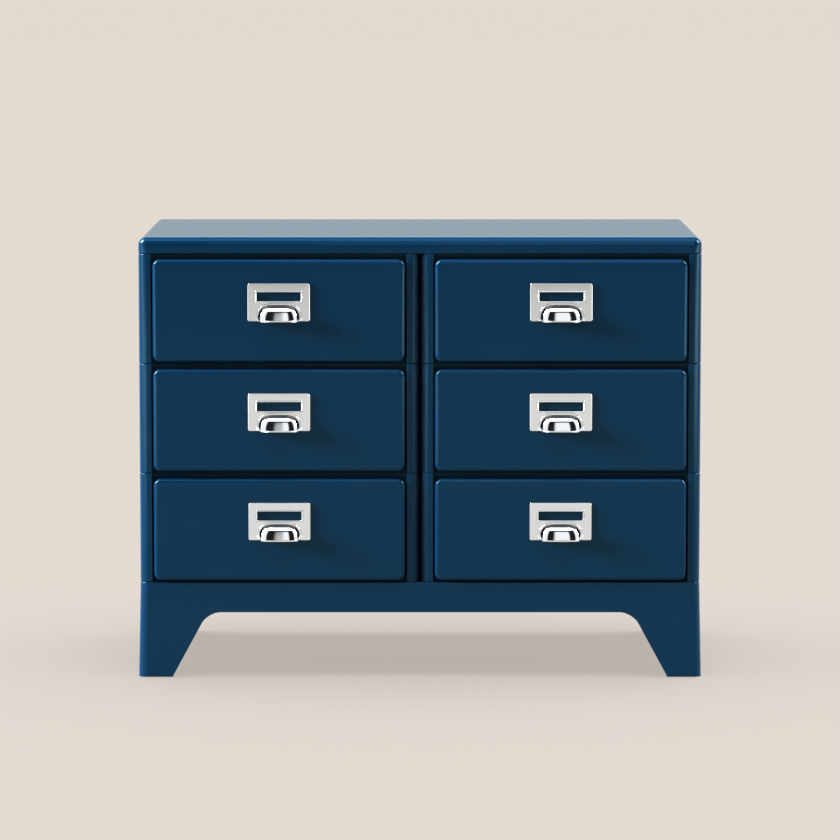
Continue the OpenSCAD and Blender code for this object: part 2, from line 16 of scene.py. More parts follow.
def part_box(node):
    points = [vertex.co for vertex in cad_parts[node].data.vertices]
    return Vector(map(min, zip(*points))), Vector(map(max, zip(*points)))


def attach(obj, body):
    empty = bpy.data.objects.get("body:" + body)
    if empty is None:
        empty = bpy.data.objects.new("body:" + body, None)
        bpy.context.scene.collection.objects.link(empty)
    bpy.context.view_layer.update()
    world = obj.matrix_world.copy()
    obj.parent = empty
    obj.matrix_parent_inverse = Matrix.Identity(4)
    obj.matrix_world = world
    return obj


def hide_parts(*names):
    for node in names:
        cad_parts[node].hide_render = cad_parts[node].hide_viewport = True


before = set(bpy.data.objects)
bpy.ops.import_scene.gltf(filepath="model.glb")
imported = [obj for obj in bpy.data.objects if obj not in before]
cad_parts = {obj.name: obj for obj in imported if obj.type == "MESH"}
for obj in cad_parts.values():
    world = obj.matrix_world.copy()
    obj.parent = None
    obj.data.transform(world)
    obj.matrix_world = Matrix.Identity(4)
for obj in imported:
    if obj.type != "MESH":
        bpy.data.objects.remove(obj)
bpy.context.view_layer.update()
ROWS = ("bottom", "middle", "top")
COLUMNS = ("left", "right")
X, Y, Z = 0, 1, 2

# %% [markdown]
# ## Camera
# The picture was taken from straight in front with a long lens, a little above the cabinet, so
# the top shows as a thin strip. A long lens far away keeps the uprights parallel. The tilt is
# set by how much of the top shows, and the distance by how much narrower its back edge looks.

# %% The camera
CAMERA_PLACE = (0, -5.764, 0.9587)
CAMERA_TILT = math.radians(-6.28)
CAMERA_LENS = 181.7

camera_data = bpy.data.cameras.new("camera")
camera_data.lens = CAMERA_LENS
camera = bpy.data.objects.new("camera", camera_data)
camera.location = CAMERA_PLACE
camera.rotation_euler = (math.pi / 2 + CAMERA_TILT, 0, 0)
bpy.context.scene.collection.objects.link(camera)
bpy.context.scene.camera = camera
bpy.context.scene.view_settings.view_transform = "Standard"
print("camera", CAMERA_LENS, "mm lens")

# %% [markdown]
# ## Sums on shader sockets
# A finish is a set of sums on noise and masks. Wiring each Math node by hand hides the sum, so
# a small class wraps a socket and lets Python's own signs add the nodes. Any other node comes
# from its method `node`, which sets the node's settings before its sockets, because a setting
# can change which sockets are in use.

# %% A socket that can be reckoned with
class Wire:
    """An output socket. A sum on it adds a Math node."""

    def __init__(self, tree, socket=None):
        self.tree = tree
        self.socket = socket

    def node(self, kind, settings, sockets, output=0):
        """Adds any node, and gives back the wire from the output of that place or name."""
        made = self.tree.nodes.new(kind)
        for name, value in settings.items():
            setattr(made, name, value)
        for name, value in sockets.items():
            self.plug(named(made.inputs, name), value)
        return Wire(self.tree, named(made.outputs, output)) if made.outputs else None

    def plug(self, socket, value):
        """Feeds a socket from a wire, or sets it to a constant."""
        if isinstance(value, Wire):
            self.tree.links.new(value.socket, socket)
        elif socket.type == "RGBA":
            socket.default_value = (*value, 1)
        else:
            socket.default_value = value

    def math(self, operation, *values):
        return self.node("ShaderNodeMath", {"operation": operation}, dict(enumerate(values)))

    def mix(self, low, high):
        """The colour low where the wire is 0, and high where it is 1."""
        return self.node("ShaderNodeMix", {"data_type": "RGBA"},
                         {"Factor": self, "A": low, "B": high}, "Result")

    def ramp(self, low, high):
        """0 below low and 1 above high, with a soft step between."""
        return self.node("ShaderNodeMapRange", {"interpolation_type": "SMOOTHSTEP"},
                         {"Value": self, "From Min": low, "From Max": high})

    def axes(self):
        """The x, y and z of a place or a direction."""
        return [self.node("ShaderNodeSeparateXYZ", {}, {"Vector": self}, axis) for axis in "XYZ"]

    def ray(self, question):
        """What the Light Path node answers about the ray that asks."""
        return self.node("ShaderNodeLightPath", {}, {}, question)

    def __add__(self, other):
        return self.math("ADD", self, other)

    def __sub__(self, other):
        return self.math("SUBTRACT", self, other)

    def __rsub__(self, other):
        return self.math("SUBTRACT", other, self)

    def __mul__(self, other):
        return self.math("MULTIPLY", self, other)

    __radd__ = __add__
    __rmul__ = __mul__


def named(sockets, name):
    """The socket at a place, or the one of that name which the node's settings leave in use."""
    if isinstance(name, int):
        return sockets[name]
    return next(socket for socket in sockets if socket.name == name and socket.enabled)


print("sums on sockets are ready")

# %% [markdown]
# ## Studio floor
# The picture has one plain warm grey for floor and wall, with a soft shadow under the cabinet.
# A white floor lit by lamps alone would need a wall and many lamps to be that even. Here the
# floor glows in its own colour and takes only a share of its light from the lamps, which makes
# the shadow as pale as the real one.
#
# Most of what the upright faces mirror is floor too. The bright line down each rounded edge
# tells that it was brighter at both sides, under the soft boxes. So mirrored rays meet a floor
# of their own: cooler, brighter at the sides and near the cabinet, and dark far away.

# %% How the floor glows
BACKDROP = (0.76, 0.70, 0.637)
# the share of the floor's light that the cabinet can keep off it
SHADOW_SHARE = 0.38
# how much of its glow the floor gives the pieces as soft light
FLOOR_BOUNCE = 0.32
# as mirrored: from which to which distance from the middle it gets brighter, and how much
LEFT_SPILL = (0.7, 1.6, 4.4)
RIGHT_SPILL = (0.6, 4.5, 7.5)
# along the room, as y: where the spills begin and end, and where the floor is near or far
SPILL_STARTS = (-6.2, -4.2)
SPILL_ENDS = (-3.2, -0.4)
NEAR_FLOOR = (-5, -3.5, 0.17)
FAR_FLOOR = (-10, -6)
MIRRORED_FLOOR = (0.77, 0.756, 0.72)


def floor_glow(place):
    """The colour that each spot of the floor gives off, for the ray that asks."""
    side, along, _ = place.axes()
    mirrored = place.ray("Is Glossy Ray")
    left = (0 - side).ramp(*LEFT_SPILL[:2]) * LEFT_SPILL[2]
    right = side.ramp(*RIGHT_SPILL[:2]) * RIGHT_SPILL[2]
    spill = (left + right) * (along.ramp(*SPILL_STARTS) - along.ramp(*SPILL_ENDS))
    near = along.ramp(*NEAR_FLOOR[:2]) * NEAR_FLOOR[2]
    own = (1 - SHADOW_SHARE) * (1 - place.ray("Is Diffuse Ray") * (1 - FLOOR_BOUNCE))
    own = own * (1 - mirrored * (1 - along.ramp(*FAR_FLOOR)))
    colour = mirrored.mix(BACKDROP, MIRRORED_FLOOR)
    return colour.node("ShaderNodeVectorMath", {"operation": "SCALE"},
                       {"Vector": colour, "Scale": own + (spill + near) * mirrored}, "Vector")


print("the floor keeps", SHADOW_SHARE, "of its light for the shadow")

# %% Floor
FLOOR_SIZE = 80
# what the soft light and the overhead lamp give the floor where nothing stands on it
AMBIENT = 0.447
OVERHEAD = 0.6


def make_floor():
    bpy.ops.object.select_all(action="DESELECT")
    bpy.ops.mesh.primitive_plane_add(size=FLOOR_SIZE)
    made = bpy.context.object
    made.name = "floor"
    paper = bpy.data.materials.new("backdrop_paper")
    paper.use_nodes = True
    shader = paper.node_tree.nodes["Principled BSDF"]
    share = SHADOW_SHARE / (AMBIENT + OVERHEAD)
    shader.inputs["Base Color"].default_value = (*[c * share for c in BACKDROP], 1)
    shader.inputs["Roughness"].default_value = 1
    shader.inputs["Specular IOR Level"].default_value = 0
    shader.inputs["Emission Strength"].default_value = 1
    place = Wire(paper.node_tree).node("ShaderNodeTexCoord", {}, {}, "Object")
    place.plug(shader.inputs["Emission Color"], floor_glow(place))
    made.data.materials.append(paper)
    return made


floor = make_floor()
print("floor", FLOOR_SIZE, "m wide")

# %% [markdown]
# ## What the polished parts mirror
# Chrome and glossy enamel show the room more than themselves, so the room matters as much as
# the finish. The bright and dark patches on the cup pulls tell where the soft boxes stood: one
# along each side, one overhead, and a pale card behind the camera, in a dark room. Emitting
# planes would do, but they would also light the floor. The world writes the same patches by
# direction, for mirrored rays only. A ray that has met two mirrors no longer sees the boxes,
# which keeps the dark line where the cup meets its plate.

# %% Soft boxes
# each box: its azimuth from straight ahead towards the right, its elevation, both in degrees,
# and its radiance
SOFT_BOXES = {
    "card behind the camera": ((-2, 12), (-6, 50), 1.15),
    "the camera in front of it": ((2.5, 5), (-20, 2), -1.0),
    "left wall": ((-110, -34), (-10, 80), 1.1),
    "left strip": ((-102, -68), (22, 58), 50),
    "right wall": ((50, 105), (-10, 60), 1.1),
    "right strip": ((72, 94), (22, 52), 34),
    "overhead": ((-90, 90), (60, 97), 2.2),
    "wall behind, left": ((-200, -95), (10, 44), 1.3),
    "wall behind, right": ((95, 200), (10, 44), 1.3),
}
# the soft edge of a box, in degrees, and the count of mirrors from which a ray sees no box
BOX_EDGE = 3
SECOND_MIRROR = (1.2, 1.8)
ROOM_DARK = (0.014, 0.015, 0.017)
MIRRORED_BACKDROP = (0.455, 0.52, 0.5)
# the paper behind the cabinet: how far back a direction has to point, and its upper edge
PAPER_BACK = (-0.15, 0.1)
PAPER_TOP = (40, 52)


def between(angle, low, high):
    """1 from low to high, with a soft edge on both sides."""
    return angle.ramp(low - BOX_EDGE, low + BOX_EDGE) - angle.ramp(high - BOX_EDGE, high + BOX_EDGE)


def grey(wire):
    return wire.node("ShaderNodeCombineColor", {}, {"Red": wire, "Green": wire, "Blue": wire})


def mirrored_room(azimuth, elevation, back):
    """The room as the polished parts show it."""
    light = sum(between(azimuth, *across) * between(elevation, *upright) * radiance
                for across, upright, radiance in SOFT_BOXES.values())
    light = light * (1 - light.ray("Glossy Depth").ramp(*SECOND_MIRROR))
    paper = back.ramp(*PAPER_BACK) * (1 - elevation.ramp(*PAPER_TOP))
    return paper.node("ShaderNodeMix", {"data_type": "RGBA", "blend_type": "ADD"},
                      {"Factor": 1.0, "A": paper.mix(ROOM_DARK, MIRRORED_BACKDROP), "B": grey(light)},
                      "Result")


print(len(SOFT_BOXES), "soft boxes")

# %% [markdown]
# ## The soft light of the room
# Matt light reaches the pieces from the whole room. It is strong from the ceiling, weaker from
# the pale walls beside and behind the cabinet, and weakest from the dark side, where the camera
# stood. Only that keeps the flat fronts as deep a blue as they are beside their bright edges.

# %% World
DIM_AHEAD = 0.06
WALL_GLOW = 0.4
CEILING_GLOW = 0.9
# how far back the walls begin, and at which elevation the ceiling does
WALLS_BACK = (-0.75, 0)
CEILING_EDGE = (45, 62)


def soft_light(elevation, back):
    walls = DIM_AHEAD + back.ramp(*WALLS_BACK) * (WALL_GLOW - DIM_AHEAD)
    return grey(walls + elevation.ramp(*CEILING_EDGE) * (CEILING_GLOW - WALL_GLOW))


def make_world():
    world = bpy.data.worlds.new("studio")
    world.use_nodes = True
    bpy.context.scene.world = world
    world.node_tree.nodes.clear()
    direction = Wire(world.node_tree).node("ShaderNodeTexCoord", {}, {}, "Generated")
    right, back, up = direction.axes()
    azimuth = right.math("ARCTAN2", right, 0 - back) * (180 / math.pi)
    elevation = up.math("ARCSINE", up) * (180 / math.pi)
    scattered = up.ray("Diffuse Depth")
    shown = up.ray("Is Glossy Ray") * (1 - scattered.math("MINIMUM", scattered, 1))
    seen = up.math("MAXIMUM", up.ray("Is Camera Ray"), up.ray("Is Transmission Ray"))
    plain = seen.mix(soft_light(elevation, back), BACKDROP)
    colour = shown.mix(plain, mirrored_room(azimuth, elevation, back))
    background = colour.node("ShaderNodeBackground", {}, {"Color": colour})
    background.node("ShaderNodeOutputWorld", {}, {"Surface": background})


make_world()
print("the world is lit")

# %% [markdown]
# ## Lamps
# The soft boxes also light the enamel. One sun stands for each, with the angle that the box
# fills in the sky, and a fourth fills in from behind. Mirrored rays don't see the suns, because
# the world already shows the boxes. Only the overhead box lights the floor, which is what puts
# the soft shadow right under the cabinet: the others leave the floor out by light linking.

# %% Lamps
def add_sun(name, toward, strength, angle, lights_floor=False):
    data = bpy.data.lights.new(name, "SUN")
    data.energy = strength * math.pi
    data.angle = math.radians(angle)
    lamp = bpy.data.objects.new(name, data)
    lamp.rotation_mode = "QUATERNION"
    lamp.rotation_quaternion = Vector(toward).to_track_quat("Z", "Y")
    lamp.visible_glossy = False
    bpy.context.scene.collection.objects.link(lamp)
    if not lights_floor:
        lamp.light_linking.receiver_collection = unlit


unlit = bpy.data.collections.new("lit_by_side_lamps")
unlit.objects.link(floor)
unlit.collection_objects[0].light_linking.link_state = "EXCLUDE"
add_sun("overhead_soft_box", (0, -0.02, 1), OVERHEAD, 64, lights_floor=True)
add_sun("left_soft_box", (-0.94, -0.12, 0.3), 3.4, 20)
add_sun("right_strip", (0.95, 0, 0.25), 1.2, 12)
add_sun("back_fill", (0.05, 0.55, 0.83), 1.3, 40)
print("four lamps")

# %% [markdown]
# ## Navy enamel
# The sheets are sprayed and baked, so the colour is even and the face glossy, but sprayed paint
# dries with a faint orange peel. A low bump from fine noise gives that, and slow noise moves the
# colour and the gloss a little, as on any large sprayed panel.
#
# In the groove between the columns, and round the drawers behind the posts, shade is painted into
# the colour as a darker navy, and the gloss is made matt there. A mask on the place of each spot
# tells where that is. It could be painted by hand, but the gaps have known places.

# %% Where shade is painted into the gaps
# each pair is a soft step, in metres: the groove's half width, the depth behind the posts where
# a gap begins and ends, and the fold along the top of each casing, which is left out of the painted shade
GROOVE = (0.0045, 0.0098)
GAP_STARTS = (0.002, 0.003)
GAP_ENDS = (0.02, 0.05)
FOLD_STARTS = (0.0003, 0.0006)
FOLD_ENDS = (0.0017, 0.002)
SHARP_STEP = 0.0003
POST_W = 0.0168


def narrow_gaps(place):
    """1 where shade is painted: in the groove between the columns and in the gaps round the drawers, else
    0.
    """
    low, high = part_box("bottom_left_casing")[0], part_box("top_right_casing")[1]
    x, y, z = place.axes()
    side = x.math("ABSOLUTE", x)
    depth = y - low.y
    height = z - low.z
    pitch = (high.z - low.z) / len(ROWS)
    under = pitch - height.math("FLOORED_MODULO", height, pitch)
    fold = under.ramp(*FOLD_STARTS) - under.ramp(*FOLD_ENDS)
    within = 1 - (side - (high.x - POST_W)).ramp(0, SHARP_STEP)
    opening = (depth.ramp(*GAP_STARTS) - depth.ramp(*GAP_ENDS)) * within * (1 - fold)
    groove = 1 - side.ramp(*GROOVE)
    stack = height.ramp(-SHARP_STEP, 0) - (z - high.z).ramp(0, SHARP_STEP)
    return groove.math("MAXIMUM", groove, opening) * stack


print("gaps begin", GAP_STARTS[0] / 0.001, "mm behind the posts")

# %% Enamel
NAVY = ((0.0003, 0.0262, 0.0785), (0.0007, 0.0288, 0.086))
# the painted shade of the gaps, a darker navy than the paint's own colour
GAP_SHADE_NAVY = (0.0002, 0.0045, 0.017)
# the noise scales of the colour, of the gloss and of the orange peel
CLOUDS = 6
SHEEN = 40
PEEL = 260
PEEL_DEPTH = 0.00006


def new_material(name):
    """A material, its shader, and the wire of the place on the piece."""
    material = bpy.data.materials.new(name)
    material.use_nodes = True
    shader = material.node_tree.nodes["Principled BSDF"]
    return material, shader, Wire(material.node_tree).node("ShaderNodeTexCoord", {}, {}, "Object")


def noise(place, scale):
    return place.node("ShaderNodeTexNoise", {}, {"Vector": place, "Scale": scale}, "Fac")


def bump(height, strength, distance):
    return height.node("ShaderNodeBump", {}, {"Height": height, "Strength": strength, "Distance": distance})


def enamel():
    material, shader, place = new_material("navy_enamel_paint")
    gaps = narrow_gaps(place)
    # in the gaps the colour turns to the painted shade, and the gloss goes matt
    place.plug(shader.inputs["Base Color"], gaps.mix(noise(place, CLOUDS).mix(*NAVY), GAP_SHADE_NAVY))
    place.plug(shader.inputs["Roughness"], 0.07 + noise(place, SHEEN) * 0.05 + gaps * 0.5)
    place.plug(shader.inputs["Normal"], bump(noise(place, PEEL), 0.25, PEEL_DEPTH))
    shader.inputs["Specular IOR Level"].default_value = 0.25
    shader.inputs["Specular Tint"].default_value = (0.42, 0.92, 1, 1)
    return material


FINISHES = {"navy_enamel": enamel()}
print("enamel is ready")

# %% [markdown]
# ## Chrome, zinc, nylon and rubber
# The cast handles are chrome plated: a neutral metal, a little uneven in gloss where it was
# polished by hand. Runners and screws are zinc plated, which shows as flat crystals of slightly
# different grey, so their colour comes from Voronoi cells. Glides and bumpers are moulded, with
# a fine matt grain. The nylon is the black kind, because no pale glide shows in the dark gaps
# beside the drawers of the picture.

# %% The other finishes
def chrome():
    material, shader, place = new_material("handle_chrome_plate")
    place.plug(shader.inputs["Base Color"], noise(place, 90).mix((0.74, 0.77, 0.8), (0.78, 0.81, 0.84)))
    place.plug(shader.inputs["Roughness"], 0.04 + noise(place, 300) * 0.05)
    shader.inputs["Metallic"].default_value = 1
    return material


def zinc():
    material, shader, place = new_material("zinc_passivated")
    cells = place.node("ShaderNodeTexVoronoi", {}, {"Vector": place, "Scale": 70}, "Color")
    grey = cells.node("ShaderNodeSeparateColor", {}, {"Color": cells}, "Red")
    place.plug(shader.inputs["Base Color"], grey.mix((0.42, 0.44, 0.47), (0.58, 0.6, 0.62)))
    place.plug(shader.inputs["Roughness"], 0.28 + grey * 0.15)
    shader.inputs["Metallic"].default_value = 1
    return material


def moulded(name, dark, light, roughness):
    material, shader, place = new_material(name)
    place.plug(shader.inputs["Base Color"], noise(place, 120).mix(dark, light))
    place.plug(shader.inputs["Roughness"], roughness + noise(place, 500) * 0.1)
    place.plug(shader.inputs["Normal"], bump(noise(place, 2500), 0.2, 0.00005))
    return material


FINISHES["handle_chrome"] = chrome()
FINISHES["zinc_plate"] = zinc()
FINISHES["nylon"] = moulded("nylon_black", (0.014, 0.014, 0.015), (0.022, 0.022, 0.023), 0.4)
FINISHES["rubber"] = moulded("rubber_black", (0.012, 0.012, 0.013), (0.02, 0.02, 0.021), 0.6)
print(len(FINISHES), "finishes")

# %% [markdown]
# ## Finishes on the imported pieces
# The inner pieces, such as trays, runners, bolts and glides, are right as they come. Each only
# gets the finish of its slot.

# %% Dress the nodes
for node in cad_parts.values():
    slot_name = node.data.materials[0].name.split(".")[0]
    node.data.materials.clear()
    node.data.materials.append(FINISHES[slot_name])
print("finished", len(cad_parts), "nodes")

# %% [markdown]
# ## Tools for modelling sheet metal
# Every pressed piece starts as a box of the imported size. Its bends are bevels, its flanges are
# faces or edges extruded, and its openings are faces deleted. Last, the skin is thickened
# inwards to the sheet's gauge. That is the order of the real work, and it keeps every radius a
# number that can be changed. Edges are picked by where they lie, never by their index.

# %% Start and pick
NEAR = 0.00002


def start_block(name, low, high):
    """A box from its lowest to its highest corner, in edit mode."""
    bpy.ops.object.select_all(action="DESELECT")
    bpy.ops.mesh.primitive_cube_add(size=1, location=(low + high) / 2)
    piece = bpy.context.object
    piece.name = piece.data.name = name
    piece.scale = high - low
    bpy.ops.object.transform_apply(location=True, rotation=True, scale=True)
    bpy.ops.object.mode_set(mode="EDIT")
    return piece


def pick(piece, kind, wanted):
    """Selects just the corners, edges or faces of the piece that wanted() says yes to."""
    bpy.ops.mesh.select_mode(type=kind)
    bpy.ops.mesh.select_all(action="DESELECT")
    mesh = bmesh.from_edit_mesh(piece.data)
    mesh.normal_update()
    parts = {"VERT": mesh.verts, "EDGE": mesh.edges, "FACE": mesh.faces}[kind]
    for part in [part for part in parts if wanted(part)]:
        part.select_set(True)
    bmesh.update_edit_mesh(piece.data)


def lies_at(part, axis, place):
    """Whether a whole edge or face lies at that place on an axis."""
    return all(abs(corner.co[axis] - place) < NEAR for corner in part.verts)


def runs_along(edge, axis):
    run = edge.verts[0].co - edge.verts[1].co
    return abs(run[axis]) > 0.999 * run.length


def middle(part):
    return sum((corner.co for corner in part.verts), Vector()) / len(part.verts)


print("edges are picked to within", NEAR / 0.001, "mm")

# %% Bend, cut and extrude
def bevel(piece, wanted, radius, segments):
    pick(piece, "EDGE", wanted)
    bpy.ops.mesh.bevel(offset=radius, segments=segments, affect="EDGES")


def cut(piece, axis, place, wanted=lambda face: True):
    """Cuts the wanted faces across an axis, and keeps both sides."""
    pick(piece, "FACE", wanted)
    plane = Vector((0, 0, 0))
    plane[axis] = 1
    bpy.ops.mesh.bisect(plane_co=plane * place, plane_no=plane)


def extrude(piece, kind, wanted, way):
    pick(piece, kind, wanted)
    bpy.ops.mesh.extrude_region_move(TRANSFORM_OT_translate={"value": way})


def remove(piece, wanted):
    pick(piece, "FACE", wanted)
    bpy.ops.mesh.delete(type="FACE")


print("tools for bends, cuts and flanges are ready")

# %% [markdown]
# ## Gauge, finish and copies
# The bent skin becomes a sheet by Solidify. Its bends are shaded smooth and its flat faces kept
# flat by weighted normals, as more segments alone would not do. The six drawers are alike, so
# each piece is modelled once, for the bottom left one, and copied to the other places.

# %% Thicken, smooth and copy
def thicken(piece, sheet):
    """Gives an open skin its gauge, inwards."""
    bpy.ops.object.mode_set(mode="OBJECT")
    solid = piece.modifiers.new("sheet", "SOLIDIFY")
    solid.thickness = sheet
    solid.offset = -1
    solid.use_even_offset = True
    bpy.ops.object.modifier_apply(modifier=solid.name)


def smooth(piece, degrees=35):
    """Smooth over the bends, with the flat faces kept flat."""
    bpy.ops.object.shade_smooth_by_angle(angle=math.radians(degrees))
    weighted = piece.modifiers.new("weighted", "WEIGHTED_NORMAL")
    weighted.keep_sharp = True
    bpy.ops.object.modifier_apply(modifier=weighted.name)


def dress(piece, body, slot, *nodes):
    """Finish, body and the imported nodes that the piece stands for."""
    piece.data.materials.clear()
    piece.data.materials.append(FINISHES[slot])
    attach(piece, body)
    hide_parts(*nodes)


def copy_to(piece, name, shift):
    """A copy with its own mesh, moved by shift."""
    twin = piece.copy()
    twin.data = piece.data.copy()
    twin.name = twin.data.name = name
    twin.data.transform(Matrix.Translation(shift))
    bpy.context.scene.collection.objects.link(twin)
    return twin


def place_copies(first, part, slot, body):
    """Copies the piece of the bottom left drawer to the other five."""
    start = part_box(f"bottom_left_{part}")[0]
    places = [f"{row}_{column}" for row in ROWS for column in COLUMNS]
    pieces = {place: copy_to(first, f"{place}_shaped_{part}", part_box(f"{place}_{part}")[0] - start)
              for place in places}
    bpy.data.objects.remove(first)
    for place, piece in pieces.items():
        dress(piece, body.format(drawer=f"{place}_drawer"), slot, f"{place}_{part}")
    print(part, "has", len(piece.data.polygons), "faces")


print(len(ROWS) * len(COLUMNS), "places for each copied piece")

# %% [markdown]
# ## Drawer fronts
# Each front is one pressing: a flat face with a rolled edge, corners drawn round, and sides that
# run back round the tray. Two bevels make it, the corners first and the roll after, because the
# roll has to run round corners that are already there.

# %% Drawer fronts
FRONT_CORNER_R = 0.01
FRONT_EDGE_R = 0.005
FRONT_SHEET = 0.001


def model_front(low, high):
    piece = start_block("drawer_front", low, high)
    bevel(piece, lambda edge: runs_along(edge, Y), FRONT_CORNER_R, 12)
    bevel(piece, lambda edge: lies_at(edge, Y, low.y), FRONT_EDGE_R, 8)
    remove(piece, lambda face: lies_at(face, Y, high.y))
    thicken(piece, FRONT_SHEET)
    smooth(piece)
    return piece


front = model_front(*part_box("bottom_left_front"))
place_copies(front, "front", "navy_enamel", "{drawer}")

# %% [markdown]
# ## Casings
# A casing is a sheet wrapped round the drawer. Its front edges are folded into posts at both
# sides and into narrow rails above and below, and the rails stand a little behind the posts.
# The back carries a pressed panel that stiffens it. A boolean would cut the opening too, but
# deleting the faces between two cuts leaves free edges, and those edges are what gets folded.

# %% The casing's back
CASING_CORNER_R = 0.011
CASING_EDGE_R = 0.0015
BACK_BORDER = 0.026
BACK_RECESS = 0.002
FOLD_R = 0.0008


def press_back_panel(piece, low, high):
    """The pressed panel: its border inset, sunk, with round corners and rims."""
    pick(piece, "FACE", lambda face: lies_at(face, Y, high.y))
    bpy.ops.mesh.inset(thickness=BACK_BORDER - CASING_CORNER_R)
    tall = (high.z - low.z) / 2
    squash = (tall - BACK_BORDER) / (tall - CASING_EDGE_R - BACK_BORDER + CASING_CORNER_R)
    centre = Vector(((low.x + high.x) / 2, high.y, (low.z + high.z) / 2))
    bpy.ops.transform.resize(value=(1, 1, squash), center_override=centre)
    bpy.ops.mesh.extrude_region_move(TRANSFORM_OT_translate={"value": (0, -BACK_RECESS, 0)})
    reach = (high.x - low.x) / 2 - BACK_BORDER + NEAR

    def in_panel(edge):
        return high.y - BACK_RECESS - NEAR < middle(edge).y and all(
            abs(corner.co.x - centre.x) < reach for corner in edge.verts)

    bevel(piece, lambda edge: in_panel(edge) and runs_along(edge, Y), CASING_CORNER_R, 6)
    bevel(piece, lambda edge: in_panel(edge) and not runs_along(edge, Y)
          and edge.calc_face_angle(0) > 1, FOLD_R, 2)


print("the back panel is", BACK_RECESS / 0.001, "mm deep")

# %% The casing's opening
POST_FOLD = 0.012
RAIL_SETBACK = 0.004
TOP_RAIL_H = 0.0023
BOTTOM_RAIL_H = 0.0012
RAIL_R = 0.0015


def fold_opening(piece, low, high):
    """Opens the front between the posts and folds its free edges."""
    centre = (low.x + high.x) / 2
    half = (high.x - low.x) / 2 - POST_W
    rail_y = low.y + RAIL_SETBACK
    cut(piece, Y, rail_y)
    for side in (-half, half):
        cut(piece, X, centre + side, lambda face: middle(face).y < rail_y)
    remove(piece, lambda face: middle(face).y < rail_y and abs(middle(face).x - centre) < half)
    extrude(piece, "EDGE", lambda edge: edge.is_boundary and middle(edge).y < low.y + CASING_EDGE_R
            and abs(abs(middle(edge).x - centre) - half) < NEAR, (0, POST_FOLD, 0))
    extrude(piece, "EDGE", lambda edge: edge.is_boundary and lies_at(edge, Y, rail_y)
            and lies_at(edge, Z, high.z), (0, 0, -TOP_RAIL_H))
    extrude(piece, "EDGE", lambda edge: edge.is_boundary and lies_at(edge, Y, rail_y)
            and lies_at(edge, Z, low.z), (0, 0, BOTTOM_RAIL_H))
    bevel(piece, lambda edge: not edge.is_boundary and lies_at(edge, Y, low.y)
          and abs(abs(middle(edge).x - centre) - half) < NEAR, FOLD_R, 3)
    bevel(piece, lambda edge: not edge.is_boundary and lies_at(edge, Y, rail_y)
          and lies_at(edge, Z, high.z) and edge.calc_face_angle(0) > 1, RAIL_R, 5)
    bevel(piece, lambda edge: not edge.is_boundary and lies_at(edge, Y, rail_y)
          and lies_at(edge, Z, low.z) and edge.calc_face_angle(0) > 1, FOLD_R, 2)


print("the rails stand", RAIL_SETBACK / 0.001, "mm behind the posts")

# %% Casings
CASING_SHEET = 0.001


def model_casing(low, high):
    piece = start_block("casing", low, high)
    bevel(piece, lambda edge: runs_along(edge, Z), CASING_CORNER_R, 12)
    bevel(piece, lambda edge: lies_at(edge, Z, low.z) or lies_at(edge, Z, high.z), CASING_EDGE_R, 4)
    press_back_panel(piece, low, high)
    fold_opening(piece, low, high)
    thicken(piece, CASING_SHEET)
    smooth(piece)
    return piece


casing = model_casing(*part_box("bottom_left_casing"))
place_copies(casing, "casing", "navy_enamel", "cabinet")

# %% [markdown]
# ## Top panel
# The top is a shallow tray turned upside down, with a generous roll along its upper edge and a
# flange turned in below. The roll catches the brightest light of the whole picture, so it gets
# more segments than the other bends.

# %% Top panel
TOP_EDGE_R = 0.0105
TOP_SHEET = 0.0012
TOP_FLANGE = 0.042


def open_flange(piece, low, high, place, width):
    """Cuts a horizontal face along a flange of the given width and takes out its middle."""
    for axis in (X, Y):
        for line in (low[axis] + width, high[axis] - width):
            cut(piece, axis, line, lambda face: lies_at(face, Z, place))
    remove(piece, lambda face: lies_at(face, Z, place) and all(
        low[axis] + width < middle(face)[axis] < high[axis] - width for axis in (X, Y)))


def model_top(low, high):
    piece = start_block("shaped_top_panel", low, high)
    bevel(piece, lambda edge: runs_along(edge, Z), CASING_CORNER_R, 12)
    bevel(piece, lambda edge: lies_at(edge, Z, high.z), TOP_EDGE_R, 12)
    bevel(piece, lambda edge: lies_at(edge, Z, low.z), CASING_EDGE_R, 3)
    open_flange(piece, low, high, low.z, TOP_FLANGE)
    thicken(piece, TOP_SHEET)
    smooth(piece)
    dress(piece, "cabinet", "navy_enamel", "top_panel")
    return piece


top = model_top(*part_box("top_panel"))
print("top panel", len(top.data.polygons), "faces")

# %% [markdown]
# ## Base frame
# Skirt and legs are one pressing, flared a little towards the floor. Between the legs its edge
# rises in an arch with a narrow fold turned in. The arch is easiest to cut as one long prism
# through the whole base, front to back and side to side, with booleans. The faces that the cut
# leaves just behind the skin are the folds, and those deeper in are deleted.

# %% Arches
SKIRT_H = 0.0404
FOOT_W = 0.0455
LEG_LEAN = math.radians(28.5)
ARCH_R = 0.029


def arch_prism(low, high, across):
    """The open space between two legs, as a prism that runs along the other way."""
    along = Y if across == X else X
    past = Vector((0, 0, 0))
    past[along] = ARCH_R
    past[across] = -FOOT_W
    start = low - past
    end = high + past
    end.z = high.z - SKIRT_H
    prism = start_block("arch", start, end)
    centre = (start + end) / 2
    centre.z = end.z
    wide = (end[across] - start[across]) / 2
    lean = (end.z - start.z) * math.tan(LEG_LEAN)
    pick(prism, "FACE", lambda face: lies_at(face, Z, end.z))
    narrow = [1, 1, 1]
    narrow[across] = 1 - lean / wide
    bpy.ops.transform.resize(value=narrow, center_override=centre)
    tangent = ARCH_R * math.tan((math.pi / 2 - LEG_LEAN) / 2)
    bevel(prism, lambda edge: lies_at(edge, Z, end.z) and runs_along(edge, along), tangent, 10)
    bpy.ops.object.mode_set(mode="OBJECT")
    return prism


